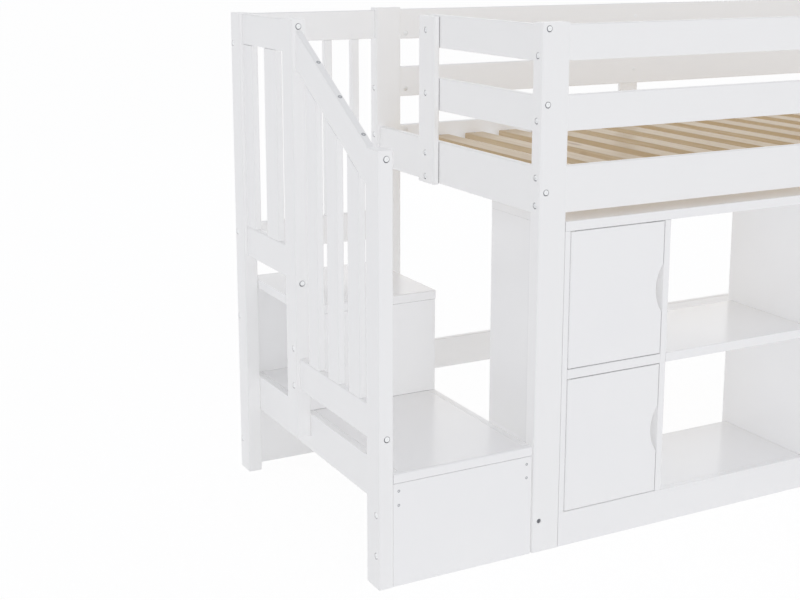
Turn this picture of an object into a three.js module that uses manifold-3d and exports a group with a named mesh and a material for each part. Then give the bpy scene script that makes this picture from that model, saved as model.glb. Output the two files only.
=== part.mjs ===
// Loft bed with storage stairs at its left end and a cabinet under its left half.
// Millimetres, +Z up, +X along the bed to the right, +Y from the front to the back.
// Boards are placed from the front left bed post's outer bottom corner.
// At the end the group is moved, so that its origin lies on the floor under the middle of the whole bed.

import * as THREE from 'three';
import { mergeVertices } from 'three/addons/utils/BufferGeometryUtils.js';
import Module from 'manifold-3d';

const wasm = await Module();
wasm.setup();

// Fits
const clearance = 0.3;

// Bed posts and the boards between them
const innerLength = 2144;
const innerWidth = 992;
const postWidth = 93;
const postDepth = 46;
const postHeight = 1567;
const boardThickness = 22;
const railInset = 12;
const postRadius = 4;
const boardRadius = 4;

// Rails, and the guards over them
const railBottom = 1024;
const railHeight = 136.5;
const middleGuardHeight = 104;
const middleGuardLift = 2;
const topGuardHeight = 103;
const topGuardDrop = 6;

// Entry beside the upper step
const entryPostSetback = 13;
const entryPostWidth = 102;
const entryPostOverhang = 1.5;
const entryPostDrop = 4;
const entryGuardOverlap = 81;
const entryPostRadius = 7;

// Batten and stretcher at the back
const battenWidth = 84;
const battenOffset = 4.5;
const battenLift = 1;
const stretcherBottom = 246;
const stretcherHeight = 111;

// Slats on their ledgers
const slatPitch = 142.6;
const slatWidth = 76;
const slatThickness = 20;
const slatDrop = 44.5;
const slatRadius = 3;
const ledgerWidth = 30;
const ledgerHeight = 40;
const slatHousing = 1;

// Cabinet
const cabinetLength = 1000;
const cabinetTopGap = 24;
const panelDepth = 403;
const shelfSetback = 17;
const sidePanelThickness = 18;
const dividerThickness = 21.5;
const shelfThickness = 29;
const doorBayWidth = 343.2;
const middleShelfBottom = 525;
const plinthHeight = 108;
const plinthThickness = 20;
const panelRadius = 1.5;

// Cabinet doors with their pivots, finger pulls and catches
const doorGap = 3;
const doorThickness = 18;
const doorHingeRadius = 4.5;
const pullDepth = 24;
const pullRadius = 126;
const pivotInset = 9;
const pinRadius = 2.5;
const pinDepth = 14;
const pinCollarRadius = 5;
const pinCollarThickness = 0.8;
const bushRadius = 4.5;
const bushDepth = 15;
const bushFlangeRadius = 7;
const bushFlangeThickness = 0.8;
const runningClearance = 0.3;
const catchLength = 40;
const catchDepth = 14;
const catchHeight = 12;
const catchSideGap = 12;
const strikeThickness = 2;
const catchRadius = 2;

// Stair width and posts
const stairWidth = 464;
const stairPostThickness = 46;
const stairPostWidth = 76;
const stairPostDrop = 5;
const stairFrontPostHeight = 1247;
const middlePostLead = 21;
const middlePostLap = 73;
const stairRailInset = 12;

// Steps
const treadThickness = 30;
const lowerTreadTop = 338;
const upperTreadTop = 677;
const upperTreadDepth = 467;
const upperTreadNosing = 4;
const riserThickness = 20;
const lowerRiserInset = 1;
const treadEndGap = 6.2;
const sideBoardHeight = 121;
const backPanelBottom = 9;
const treadRadius = 5;

// Stair handrail, guards and balusters
const handrailDepth = 98;
const handrailFrontDrop = 5;
const handrailRearDrop = 32;
const frontGuardBottom = 421;
const frontGuardHeight = 100;
const rearLowRailBottom = 762;
const rearLowRailHeight = 101;
const stairTopRailDrop = 3;
const stairTopRailHeight = 97;
const balusterWidth = 73;
const frontBalusterCount = 3;
const wideBalusterGap = 80;
const wideBalusterWidth = 94;
const spindleWidth = 28;
const spindleCount = 4;
const firstSpindleGap = 73;
const spindlePitch = 100.5;
const spindleTenon = 15;
const spindleRadius = 3;

// Outer sizes that follow from the values above
const bedLength = innerLength + 2 * (railInset + boardThickness);
const bedDepth = innerWidth + 2 * (railInset + boardThickness);
const stairLeft = -stairWidth - stairPostThickness;

// The span of a board with its start and size, and the span that fits between two faces
const span = (start, size) => [start, start + size];
const between = (start, end) => [start + clearance, end - clearance];

// Materials
function paint(color, roughness) {
  return new THREE.MeshStandardMaterial({ color, roughness, metalness: 0 });
}

const paintedPine = paint(0xeeeeec, 0.4);
const paintedPanel = paint(0xececec, 0.3);
const barePine = paint(0xd8bf96, 0.6);
const nylon = paint(0xf2f2ee, 0.5);
const catchPlastic = paint(0xd8d8d4, 0.5);
const steel = new THREE.MeshStandardMaterial({ color: 0xb8babd, roughness: 0.3, metalness: 1 });

// The turn that lays an extrusion's length along each axis
const X = new THREE.Vector3(1, 0, 0);
const Y = new THREE.Vector3(0, 1, 0);
const Z = new THREE.Vector3(0, 0, 1);
const lengthwise = {
  x: new THREE.Matrix4().makeBasis(Y, Z, X),
  y: new THREE.Matrix4().makeBasis(Z, X, Y),
  z: new THREE.Matrix4(),
};
const sectionAxes = { x: ['y', 'z'], y: ['z', 'x'], z: ['x', 'y'] };

const bed = new THREE.Group();

function add(name, geometry, material) {
  const mesh = new THREE.Mesh(geometry, material);
  mesh.name = name;
  bed.add(mesh);
  return mesh;
}

function roundedRectangle(width, height, radius) {
  const shape = new THREE.Shape();
  shape.absarc(width - radius, radius, radius, -Math.PI / 2, 0);
  shape.absarc(width - radius, height - radius, radius, 0, Math.PI / 2);
  shape.absarc(radius, height - radius, radius, Math.PI / 2, Math.PI);
  shape.absarc(radius, radius, radius, Math.PI, 1.5 * Math.PI);
  return shape;
}

// A straight board: a section with eased corners, extruded along one axis between two spans' ends
function board(name, material, along, spans, radius = boardRadius) {
  const [u, v] = sectionAxes[along];
  const size = (axis) => spans[axis][1] - spans[axis][0];
  const section = roundedRectangle(size(u), size(v), radius);
  const geometry = new THREE.ExtrudeGeometry(section, {
    depth: size(along),
    curveSegments: 2,
    bevelEnabled: false,
  });
  const mesh = add(name, geometry, material);
  mesh.quaternion.setFromRotationMatrix(lengthwise[along]);
  mesh.position.set(spans.x[0], spans.y[0], spans.z[0]);
  return mesh;
}

// A flat piece with an outline in Y and Z, and with eased edges around both faces
function flatPiece(name, material, outline, across, radius = boardRadius) {
  const [startY, startZ] = outline[0];
  const points = outline.map(([y, z]) => new THREE.Vector2(y - startY, z - startZ));
  const geometry = new THREE.ExtrudeGeometry(new THREE.Shape(points), {
    depth: across[1] - across[0] - 2 * radius,
    bevelThickness: radius,
    bevelSize: radius,
    bevelOffset: -radius,
    bevelSegments: 2,
  });
  const mesh = add(name, geometry, material);
  mesh.quaternion.setFromRotationMatrix(lengthwise.x);
  mesh.position.set(across[0] + radius, startY, startZ);
  return mesh;
}

// A turned piece with its profile in radius and height, standing on a point
function turned(name, material, profile, x, y, z) {
  const points = profile.map(([radius, height]) => new THREE.Vector2(radius, height));
  const mesh = add(name, new THREE.LatheGeometry(points, 24), material);
  mesh.rotation.x = Math.PI / 2;
  mesh.position.set(x, y, z);
  return mesh;
}

// A box and a cylinder that only cut
function cutBox(spans) {
  const [width, depth, height] = ['x', 'y', 'z'].map((axis) => spans[axis][1] - spans[axis][0]);
  const mesh = new THREE.Mesh(new THREE.BoxGeometry(width, depth, height));
  mesh.position.set(spans.x[0] + width / 2, spans.y[0] + depth / 2, spans.z[0] + height / 2);
  return mesh;
}

function cutHole(radius, x, y, heights) {
  const height = heights[1] - heights[0];
  const mesh = new THREE.Mesh(new THREE.CylinderGeometry(radius, radius, height, 24));
  mesh.rotation.x = Math.PI / 2;
  mesh.position.set(x, y, heights[0] + height / 2);
  return mesh;
}

function solidOf(mesh) {
  mesh.updateMatrix();
  const geometry = mesh.geometry.clone().applyMatrix4(mesh.matrix);
  geometry.deleteAttribute('normal');
  geometry.deleteAttribute('uv');
  const merged = mergeVertices(geometry, 1e-3);
  return new wasm.Manifold(new wasm.Mesh({
    numProp: 3,
    vertProperties: merged.attributes.position.array,
    triVerts: new Uint32Array(merged.index.array),
  }));
}

// Gives a mesh the shape of a solid that is held in bed coordinates
function reshape(mesh, solid) {
  const { vertProperties, triVerts } = solid.getMesh();
  const geometry = new THREE.BufferGeometry();
  geometry.setAttribute('position', new THREE.BufferAttribute(new Float32Array(vertProperties), 3));
  geometry.setIndex(new THREE.BufferAttribute(new Uint32Array(triVerts), 1));
  geometry.applyMatrix4(mesh.matrix.clone().invert());
  geometry.computeVertexNormals();
  mesh.geometry = geometry;
}

function cut(mesh, tools) {
  const solid = tools.reduce((left, tool) => left.subtract(solidOf(tool)), solidOf(mesh));
  reshape(mesh, solid);
}

function join(mesh, others) {
  const solid = others.reduce((whole, other) => whole.add(solidOf(other)), solidOf(mesh));
  reshape(mesh, solid);
  others.forEach((other) => bed.remove(other));
}

// Bed posts: one at each corner, with the wide face to the front and back
const postFaces = {
  left: span(0, postWidth),
  right: span(bedLength - postWidth, postWidth),
  front: span(0, postDepth),
  back: span(bedDepth - postDepth, postDepth),
};

function bedPosts() {
  for (const depthSide of ['front', 'back']) {
    for (const endSide of ['left', 'right']) {
      const spans = { x: postFaces[endSide], y: postFaces[depthSide], z: [0, postHeight] };
      board(`bed_post_${depthSide}_${endSide}`, paintedPine, 'z', spans, postRadius);
    }
  }
}

// Rails and guards: boards between the posts, set in from the posts' outer faces
const railSpans = {
  front: span(railInset, boardThickness),
  back: span(bedDepth - railInset - boardThickness, boardThickness),
  left: span(railInset, boardThickness),
  right: span(bedLength - railInset - boardThickness, boardThickness),
};
const betweenPostsX = between(postWidth, bedLength - postWidth);
const betweenPostsY = between(postDepth, bedDepth - postDepth);
const railHeights = span(railBottom, railHeight);
const topGuardTop = postHeight - topGuardDrop;
const topGuardHeights = [topGuardTop - topGuardHeight, topGuardTop];
const guardMiddle = (railHeights[1] + topGuardHeights[0]) / 2 + middleGuardLift;
const middleGuardHeights = span(guardMiddle - middleGuardHeight / 2, middleGuardHeight);

// The upper step's front edge, which the entry and the stair's middle post follow
const upperTreadFront = railSpans.back[1] - upperTreadDepth;
const entryPostY = span(upperTreadFront + entryPostSetback, entryPostWidth);

function longBoard(name, side, z) {
  board(name, paintedPine, 'x', { x: betweenPostsX, y: railSpans[side], z });
}

function endBoard(name, side, z, y = betweenPostsY) {
  board(name, paintedPine, 'y', { x: railSpans[side], y, z });
}

function railsAndGuards() {
  for (const side of ['front', 'back']) {
    longBoard(`side_rail_${side}`, side, railHeights);
    longBoard(`${side}_guard_middle`, side, middleGuardHeights);
    longBoard(`${side}_guard_top`, side, topGuardHeights);
  }
  for (const side of ['left', 'right']) {
    endBoard(`end_rail_${side}`, side, railHeights);
  }
  const shortGuard = [betweenPostsY[0], entryPostY[0] + entryGuardOverlap];
  endBoard('left_guard_middle', 'left', middleGuardHeights, shortGuard);
  endBoard('left_guard_top', 'left', topGuardHeights, shortGuard);
  endBoard('right_guard_middle', 'right', middleGuardHeights);
  endBoard('right_guard_top', 'right', topGuardHeights);
}

// Entry post: stands on the outside of the left end's boards, where the short guards end
function entryPost() {
  const outside = railInset - clearance;
  board('entry_guard_post', paintedPine, 'z', {
    x: [outside - boardThickness, outside],
    y: entryPostY,
    z: [railBottom - entryPostOverhang, topGuardTop - entryPostDrop],
  }, entryPostRadius);
}

// Back batten behind the three back boards, and the low stretcher between the back posts
function backBoards() {
  const behind = railSpans.back[1] + clearance;
  board('back_batten', paintedPine, 'z', {
    x: span((bedLength - battenWidth) / 2 - battenOffset, battenWidth),
    y: [behind, bedDepth],
    z: [railBottom + battenLift, topGuardTop],
  });
  longBoard('low_back_stretcher', 'back', span(stretcherBottom, stretcherHeight));
}

// Slat deck: bare slats across the bed, screwed down on a ledger inside each side rail
function slatDeck() {
  const slatTop = railHeights[1] - slatDrop;
  const slatBottom = slatTop - slatThickness;
  const slatY = between(postDepth, bedDepth - postDepth);
  const ledgerZ = span(slatBottom + slatHousing - ledgerHeight, ledgerHeight);
  const frontLedger = span(railSpans.front[1] + clearance, ledgerWidth);
  const backLedger = [railSpans.back[0] - clearance - ledgerWidth, railSpans.back[0] - clearance];
  const ledger = (name, y) => board(name, barePine, 'x', { x: betweenPostsX, y, z: ledgerZ }, slatRadius);
  const deck = ledger('slat_deck', frontLedger);
  const pieces = [ledger('ledger', backLedger)];
  const pitches = Math.floor((innerLength - slatWidth) / slatPitch);
  const firstCentre = bedLength / 2 - pitches * slatPitch / 2;
  for (let index = 0; index <= pitches; index += 1) {
    const x = span(firstCentre + index * slatPitch - slatWidth / 2, slatWidth);
    pieces.push(board('slat', barePine, 'y', { x, y: slatY, z: [slatBottom, slatTop] }, slatRadius));
  }
  join(deck, pieces);
}

// Cabinet: panels, boards and plinth
const cabinetLeft = postWidth + clearance;
const cabinetRight = cabinetLeft + cabinetLength;
const doorBay = span(cabinetLeft + sidePanelThickness, doorBayWidth);
const dividerX = span(doorBay[1], dividerThickness);
const openBay = [dividerX[1], cabinetRight - sidePanelThickness];
const shelfDepth = panelDepth - shelfSetback;
const topBoardBottom = railBottom - cabinetTopGap - shelfThickness;
const middleShelfTop = middleShelfBottom + shelfThickness;

function sidePanel(name, x) {
  const z = [0, topBoardBottom - clearance];
  const panel = board(name, paintedPanel, 'z', { x, y: [0, panelDepth], z }, panelRadius);
  const notch = cutBox({
    x: [x[0] - 1, x[1] + 1],
    y: [-1, plinthThickness + clearance],
    z: [-1, plinthHeight + clearance],
  });
  cut(panel, [notch]);
}

function shelf(name, x, y, bottom) {
  return board(name, paintedPanel, 'x', { x, y, z: span(bottom, shelfThickness) }, panelRadius);
}

// Pivot line of both doors: a hole in each board that carries a pin
const doorX = [doorBay[0] + doorGap, doorBay[1] - doorGap];
const pivotX = doorX[0] + pivotInset;
const pivotY = doorThickness / 2;
const pinHole = (heights) => cutHole(pinRadius + clearance, pivotX, pivotY, heights);

function cabinet() {
  sidePanel('cabinet_left_panel', span(cabinetLeft, sidePanelThickness));
  sidePanel('cabinet_right_panel', span(cabinetRight - sidePanelThickness, sidePanelThickness));
  board('cabinet_divider', paintedPanel, 'z', {
    x: dividerX,
    y: [0, panelDepth],
    z: between(plinthHeight, topBoardBottom),
  }, panelRadius);
  const topBoard = shelf('cabinet_top_board', [cabinetLeft, cabinetRight], [0, panelDepth], topBoardBottom);
  cut(topBoard, [pinHole([topBoardBottom - 1, topBoardBottom + pinDepth])]);
  const behindPlinth = [plinthThickness + clearance, shelfDepth];
  const insidePanels = between(doorBay[0], openBay[1]);
  shelf('cabinet_bottom_board', insidePanels, behindPlinth, plinthHeight - shelfThickness);
  const doorShelf = shelf('door_bay_shelf', between(...doorBay), [0, shelfDepth], middleShelfBottom);
  cut(doorShelf, [pinHole([middleShelfBottom - 1, middleShelfTop + 1])]);
  shelf('open_bay_shelf', between(...openBay), [0, shelfDepth], middleShelfBottom);
  const plinth = board('cabinet_plinth', paintedPanel, 'x', {
    x: [cabinetLeft, cabinetRight],
    y: [0, plinthThickness],
    z: [0, plinthHeight],
  }, panelRadius);
  cut(plinth, [pinHole([plinthHeight - pinDepth, plinthHeight + 1])]);
}

// Doors: rounded at the hinge edge so that they turn clear of the panel, with a crescent finger pull
function doorOutline(width) {
  const shape = new THREE.Shape();
  const round = doorHingeRadius;
  shape.moveTo(round, 0);
  shape.lineTo(width, 0);
  shape.lineTo(width, doorThickness);
  shape.lineTo(round, doorThickness);
  shape.absarc(round, doorThickness - round, round, Math.PI / 2, Math.PI);
  shape.absarc(round, round, round, Math.PI, 1.5 * Math.PI);
  return shape;
}

function door(name, bottom, top) {
  const outline = doorOutline(doorX[1] - doorX[0]);
  const settings = { depth: top - bottom, curveSegments: 3, bevelEnabled: false };
  const mesh = add(name, new THREE.ExtrudeGeometry(outline, settings), paintedPanel);
  mesh.position.set(doorX[0], 0, bottom);
  const pullSize = [pullRadius, pullRadius, 2 * doorThickness, 96];
  const pull = new THREE.Mesh(new THREE.CylinderGeometry(...pullSize));
  pull.position.set(doorX[1] + pullRadius - pullDepth, doorThickness / 2, (bottom + top) / 2);
  const holeRadius = bushRadius + clearance;
  const holeDepth = bushDepth + clearance;
  const lowerHole = cutHole(holeRadius, pivotX, pivotY, [bottom - 1, bottom + holeDepth]);
  const upperHole = cutHole(holeRadius, pivotX, pivotY, [top - holeDepth, top + 1]);
  cut(mesh, [pull, lowerHole, upperHole]);
}

// A flanged bush, with its sleeve in the door's edge and its flange over the edge
function bush(name, edge, inward) {
  const inner = pinRadius + runningClearance;
  const sleeveEnd = bushFlangeThickness + bushDepth;
  const ring = [
    [inner, 0], [bushFlangeRadius, 0], [bushFlangeRadius, bushFlangeThickness],
    [bushRadius, bushFlangeThickness], [bushRadius, sleeveEnd], [inner, sleeveEnd], [inner, 0],
  ];
  const flangeFace = edge - inward * (bushFlangeThickness + clearance);
  const mesh = turned(name, nylon, ring, pivotX, pivotY, flangeFace);
  mesh.rotation.x = inward * Math.PI / 2;
}

// A steel pin from one height to another, with a collar that rests against its board
function pin(name, bottom, top, collarBottom) {
  const collarTop = collarBottom + pinCollarThickness;
  turned(name, steel, [
    [0, 0], [pinRadius, 0], [pinRadius, collarBottom - bottom], [pinCollarRadius, collarBottom - bottom],
    [pinCollarRadius, collarTop - bottom], [pinRadius, collarTop - bottom], [pinRadius, top - bottom],
    [0, top - bottom],
  ], pivotX, pivotY, bottom);
}

const lowerDoorZ = [plinthHeight + doorGap, middleShelfBottom - doorGap];
const upperDoorZ = [middleShelfTop + doorGap, topBoardBottom - doorGap];

function doors() {
  door('lower_door', ...lowerDoorZ);
  door('upper_door', ...upperDoorZ);
  bush('lower_door_bottom_bush', lowerDoorZ[0], 1);
  bush('lower_door_top_bush', lowerDoorZ[1], -1);
  bush('upper_door_bottom_bush', upperDoorZ[0], 1);
  bush('upper_door_top_bush', upperDoorZ[1], -1);
  const reach = bushDepth - clearance;
  const bottomPinFoot = plinthHeight - pinDepth + clearance;
  const topPinHead = topBoardBottom + pinDepth - clearance;
  const topCollar = topBoardBottom - clearance - pinCollarThickness;
  pin('pivot_pin_bottom', bottomPinFoot, lowerDoorZ[0] + reach, plinthHeight + clearance);
  pin('pivot_pin_middle', lowerDoorZ[1] - reach, upperDoorZ[0] + reach, middleShelfTop + clearance);
  pin('pivot_pin_top', upperDoorZ[1] - reach, topPinHead, topCollar);
}

// Magnetic catches: one under the board over each door, at the door's free edge
function magneticCatch(name, boardBottom) {
  const right = doorX[1] - catchSideGap;
  const front = doorThickness + strikeThickness;
  board(name, catchPlastic, 'x', {
    x: [right - catchLength, right],
    y: span(front, catchDepth),
    z: [boardBottom - clearance - catchHeight, boardBottom - clearance],
  }, catchRadius);
}

// Stair posts on the left of the steps
const stairPostX = [stairLeft, -stairWidth];
const stairPostTop = postHeight - stairPostDrop;
const stairPostsY = {
  front: span(0, stairPostWidth),
  middle: span(upperTreadFront - middlePostLead, stairPostWidth),
  back: span(bedDepth - stairPostWidth, stairPostWidth),
};

function stairPosts() {
  const heights = {
    front: [0, stairFrontPostHeight],
    middle: [lowerTreadTop - middlePostLap, stairPostTop],
    back: [0, stairPostTop],
  };
  for (const [place, z] of Object.entries(heights)) {
    board(`stair_post_${place}`, paintedPine, 'z', { x: stairPostX, y: stairPostsY[place], z }, postRadius);
  }
}

// Guards between the stair posts
const stairGuardX = span(stairLeft + stairRailInset, boardThickness);
const frontBayY = between(stairPostsY.front[1], stairPostsY.middle[0]);
const rearBayY = between(stairPostsY.middle[1], stairPostsY.back[0]);
const handrailFoot = stairFrontPostHeight - handrailFrontDrop;
const handrailHead = stairPostTop - handrailRearDrop;
const slope = (handrailHead - handrailFoot) / (stairPostsY.middle[0] - stairPostsY.front[1]);
const handrailTop = (y) => handrailFoot + slope * (y - stairPostsY.front[1]);
const handrailUnderside = (y) => handrailTop(y) - handrailDepth * Math.hypot(1, slope);
const stairTopRailTop = stairPostTop - stairTopRailDrop;
const stairTopRailHeights = [stairTopRailTop - stairTopRailHeight, stairTopRailTop];

function stairGuards() {
  const [start, end] = frontBayY;
  flatPiece('slanted_handrail', paintedPine, [
    [start, handrailUnderside(start)],
    [end, handrailUnderside(end)],
    [end, handrailTop(end)],
    [start, handrailTop(start)],
  ], stairGuardX);
  const guard = (name, y, z) => board(name, paintedPine, 'y', { x: stairGuardX, y, z });
  guard('stair_front_guard_rail', frontBayY, span(frontGuardBottom, frontGuardHeight));
  guard('stair_rear_low_rail', rearBayY, span(rearLowRailBottom, rearLowRailHeight));
  guard('stair_rear_top_rail', rearBayY, stairTopRailHeights);
}

function balusters() {
  const foot = frontGuardBottom + frontGuardHeight + clearance;
  const bay = stairPostsY.middle[0] - stairPostsY.front[1];
  const gap = (bay - frontBalusterCount * balusterWidth) / (frontBalusterCount + 1);
  for (let index = 0; index < frontBalusterCount; index += 1) {
    const offset = gap + index * (gap + balusterWidth);
    const [start, end] = span(stairPostsY.front[1] + offset, balusterWidth);
    flatPiece(`front_baluster_${index + 1}`, paintedPine, [
      [start, foot],
      [end, foot],
      [end, handrailUnderside(end) - clearance],
      [start, handrailUnderside(start) - clearance],
    ], stairGuardX);
  }
  const rearZ = between(rearLowRailBottom + rearLowRailHeight, stairTopRailHeights[0]);
  const besidePost = [rearBayY[1] - balusterWidth, rearBayY[1]];
  const rear = (name, y) => board(name, paintedPine, 'z', { x: stairGuardX, y, z: rearZ });
  rear('rear_baluster_1', span(stairPostsY.middle[1] + wideBalusterGap, wideBalusterWidth));
  rear('rear_baluster_2', besidePost);
}

// Steps: two treads and risers, with a side board along each side of the lower step
const stepX = between(-stairWidth, -treadEndGap + clearance);
const lowerTreadBottom = lowerTreadTop - treadThickness;
const upperTreadBottom = upperTreadTop - treadThickness;
const lowerRiserY = span(lowerRiserInset, riserThickness);
const backBoardFront = railSpans.back[0];
const sideBoardY = [lowerRiserY[1] + clearance, backBoardFront - clearance];

function sideBoard(name, x) {
  const z = [lowerTreadTop - sideBoardHeight, lowerTreadTop];
  board(name, paintedPine, 'y', { x, y: sideBoardY, z }, panelRadius);
}

function lowerTread() {
  const tread = board('lower_tread', paintedPanel, 'x', {
    x: stepX,
    y: [0, sideBoardY[1]],
    z: [lowerTreadBottom, lowerTreadTop],
  }, treadRadius);
  const notch = (x) => cutBox({
    x,
    y: [sideBoardY[0] - clearance, sideBoardY[1] + 1],
    z: [lowerTreadBottom - 1, lowerTreadTop + 1],
  });
  const sideWidth = boardThickness + clearance;
  cut(tread, [notch([stepX[0] - 1, stepX[0] + sideWidth]), notch([stepX[1] - sideWidth, stepX[1] + 1])]);
}

function steps() {
  sideBoard('stair_side_board_left', span(stepX[0], boardThickness));
  sideBoard('stair_side_board_right', [stepX[1] - boardThickness, stepX[1]]);
  lowerTread();
  board('lower_riser', paintedPanel, 'x', {
    x: stepX,
    y: lowerRiserY,
    z: [0, lowerTreadBottom - clearance],
  }, panelRadius);
  board('upper_tread', paintedPanel, 'x', {
    x: stepX,
    y: [upperTreadFront, railSpans.back[1]],
    z: [upperTreadBottom, upperTreadTop],
  }, treadRadius);
  const upperRiserY = span(upperTreadFront + upperTreadNosing, riserThickness);
  const upperBoxZ = between(lowerTreadTop, upperTreadBottom);
  board('upper_riser', paintedPanel, 'x', { x: stepX, y: upperRiserY, z: upperBoxZ }, panelRadius);
  board('step_box_right_panel', paintedPanel, 'z', {
    x: [stepX[1] - boardThickness, stepX[1]],
    y: between(upperRiserY[1], backBoardFront),
    z: upperBoxZ,
  }, panelRadius);
  board('stair_back_panel', paintedPanel, 'x', {
    x: between(-stairWidth, 0),
    y: railSpans.back,
    z: [backPanelBottom, upperTreadBottom - clearance],
  }, panelRadius);
}

// Back guard of the stairs: two rails with glued spindles
function stairBackGuard() {
  const x = between(-stairWidth, 0);
  const lowTop = rearLowRailBottom + rearLowRailHeight;
  const lowRail = { x, y: railSpans.back, z: [rearLowRailBottom, lowTop] };
  const guard = board('stair_back_guard', paintedPine, 'x', lowRail);
  const pieces = [board('guard_rail', paintedPine, 'x', { x, y: railSpans.back, z: stairTopRailHeights })];
  for (let index = 0; index < spindleCount; index += 1) {
    const left = -stairWidth + firstSpindleGap + index * spindlePitch;
    pieces.push(board('spindle', paintedPine, 'z', {
      x: span(left, spindleWidth),
      y: railSpans.back,
      z: [lowTop - spindleTenon, stairTopRailHeights[0] + spindleTenon],
    }, spindleRadius));
  }
  join(guard, pieces);
}

bedPosts();
railsAndGuards();
entryPost();
backBoards();
slatDeck();
cabinet();
doors();
magneticCatch('upper_magnetic_catch', topBoardBottom);
magneticCatch('lower_magnetic_catch', middleShelfBottom);
stairPosts();
stairGuards();
balusters();
steps();
stairBackGuard();

bed.position.set(-(stairLeft + bedLength) / 2, -bedDepth / 2, 0);

export default bed;
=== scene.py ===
# Loft bed with storage stairs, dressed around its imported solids.
# Metres, +Z up. X runs along the bed, away from the stairs, and Y from the front to the back.

import math

import bmesh
import bpy
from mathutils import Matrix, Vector


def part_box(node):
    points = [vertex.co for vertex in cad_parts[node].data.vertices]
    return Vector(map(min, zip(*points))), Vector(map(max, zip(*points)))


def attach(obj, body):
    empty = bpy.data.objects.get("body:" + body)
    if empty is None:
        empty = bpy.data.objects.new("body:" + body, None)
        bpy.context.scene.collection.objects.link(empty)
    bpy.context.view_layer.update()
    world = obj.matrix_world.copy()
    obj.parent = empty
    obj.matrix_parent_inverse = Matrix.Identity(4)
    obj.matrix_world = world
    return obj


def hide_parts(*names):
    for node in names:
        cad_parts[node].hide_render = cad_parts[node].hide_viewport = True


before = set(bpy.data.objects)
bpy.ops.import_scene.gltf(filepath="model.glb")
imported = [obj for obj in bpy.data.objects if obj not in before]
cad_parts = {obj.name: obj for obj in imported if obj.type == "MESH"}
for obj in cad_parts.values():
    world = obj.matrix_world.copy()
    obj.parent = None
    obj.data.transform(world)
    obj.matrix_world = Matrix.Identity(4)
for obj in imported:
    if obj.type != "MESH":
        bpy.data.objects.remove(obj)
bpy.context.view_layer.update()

# Camera
# The bed is seen from its front left, from a little above the top guard, through a short telephoto lens.
# The lens is shifted down, so that the picture holds the steps' feet while the uprights stay nearly upright.
camera_lens = bpy.data.cameras.new("camera")
camera_lens.sensor_width = 36.0
camera_lens.lens = 60.39
camera_lens.shift_y = -0.0981
camera = bpy.data.objects.new("camera", camera_lens)
camera.location = (-2.9322, -3.6368, 1.7768)
camera.rotation_euler = (math.radians(78.35), 0.0, math.radians(-27.79))
bpy.context.scene.collection.objects.link(camera)
bpy.context.scene.camera = camera
bpy.context.scene.view_settings.view_transform = "Standard"


# Studio floor and light
# A matt white floor under an even tent of light, a little weaker from above than from the sides, with a
# wide soft lamp high in front and one like it behind. To the camera and in reflections, the floor and the
# tent are white.
def linear(code):
    """An sRGB hex colour as linear RGBA."""
    parts = [int(code[i:i + 2], 16) / 255 for i in (1, 3, 5)]
    return [c / 12.92 if c <= 0.04045 else ((c + 0.055) / 1.055) ** 2.4 for c in parts] + [1.0]


def add(tree, kind, values=None, links=None, **settings):
    """Adds a node with its settings, its inputs' values and its links."""
    made = tree.nodes.new(kind)
    for name, value in settings.items():
        setattr(made, name, value)
    for socket, value in (values or {}).items():
        made.inputs[socket].default_value = value
    for socket, source in (links or {}).items():
        tree.links.new(source, made.inputs[socket])
    return made


def seen_by_eye(tree):
    """1 for camera, glossy and transmission rays, and 0 for the light that falls on the bed."""
    path = add(tree, "ShaderNodeLightPath").outputs
    either = add(tree, "ShaderNodeMath", operation="MAXIMUM",
                 links={0: path["Is Camera Ray"], 1: path["Is Glossy Ray"]})
    return add(tree, "ShaderNodeMath", operation="MAXIMUM",
               links={0: either.outputs[0], 1: path["Is Transmission Ray"]}).outputs[0]


tent_side_light = linear("#F3F3F3")
tent_top_light = linear("#DBDCE2")
tent_strength = 0.863
floor_glow = 0.9
floor_shade = 0.12

world = bpy.data.worlds.new("light_tent")
world.use_nodes = True
sky = world.node_tree
sky.nodes.clear()
way_up = add(sky, "ShaderNodeSeparateXYZ", links={
    0: add(sky, "ShaderNodeTexCoord").outputs["Generated"]}).outputs["Z"]
tent_colour = add(sky, "ShaderNodeMix", {"A": tent_side_light, "B": tent_top_light}, {0: way_up},
                  data_type="RGBA")
tent = add(sky, "ShaderNodeBackground", {"Strength": tent_strength}, {"Color": tent_colour.outputs["Result"]})
white_tent = add(sky, "ShaderNodeBackground", {"Color": (1, 1, 1, 1), "Strength": 1.0})
tent_mix = add(sky, "ShaderNodeMixShader", links={
    0: seen_by_eye(sky), 1: tent.outputs[0], 2: white_tent.outputs[0]})
add(sky, "ShaderNodeOutputWorld", links={0: tent_mix.outputs[0]})
bpy.context.scene.world = world

floor_paper = bpy.data.materials.new("studio_floor")
floor_paper.use_nodes = True
sheet = floor_paper.node_tree
sheet.nodes.clear()
paper = add(sheet, "ShaderNodeBsdfDiffuse", {"Color": linear("#F4F4F4")})
shade = add(sheet, "ShaderNodeBsdfDiffuse", {"Color": (floor_shade,) * 3 + (1,)})
glow = add(sheet, "ShaderNodeEmission", {"Color": (1, 1, 1, 1), "Strength": floor_glow})
lit = add(sheet, "ShaderNodeAddShader", links={0: shade.outputs[0], 1: glow.outputs[0]})
floor_mix = add(sheet, "ShaderNodeMixShader", links={
    0: seen_by_eye(sheet), 1: paper.outputs[0], 2: lit.outputs[0]})
add(sheet, "ShaderNodeOutputMaterial", links={0: floor_mix.outputs[0]})

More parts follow.
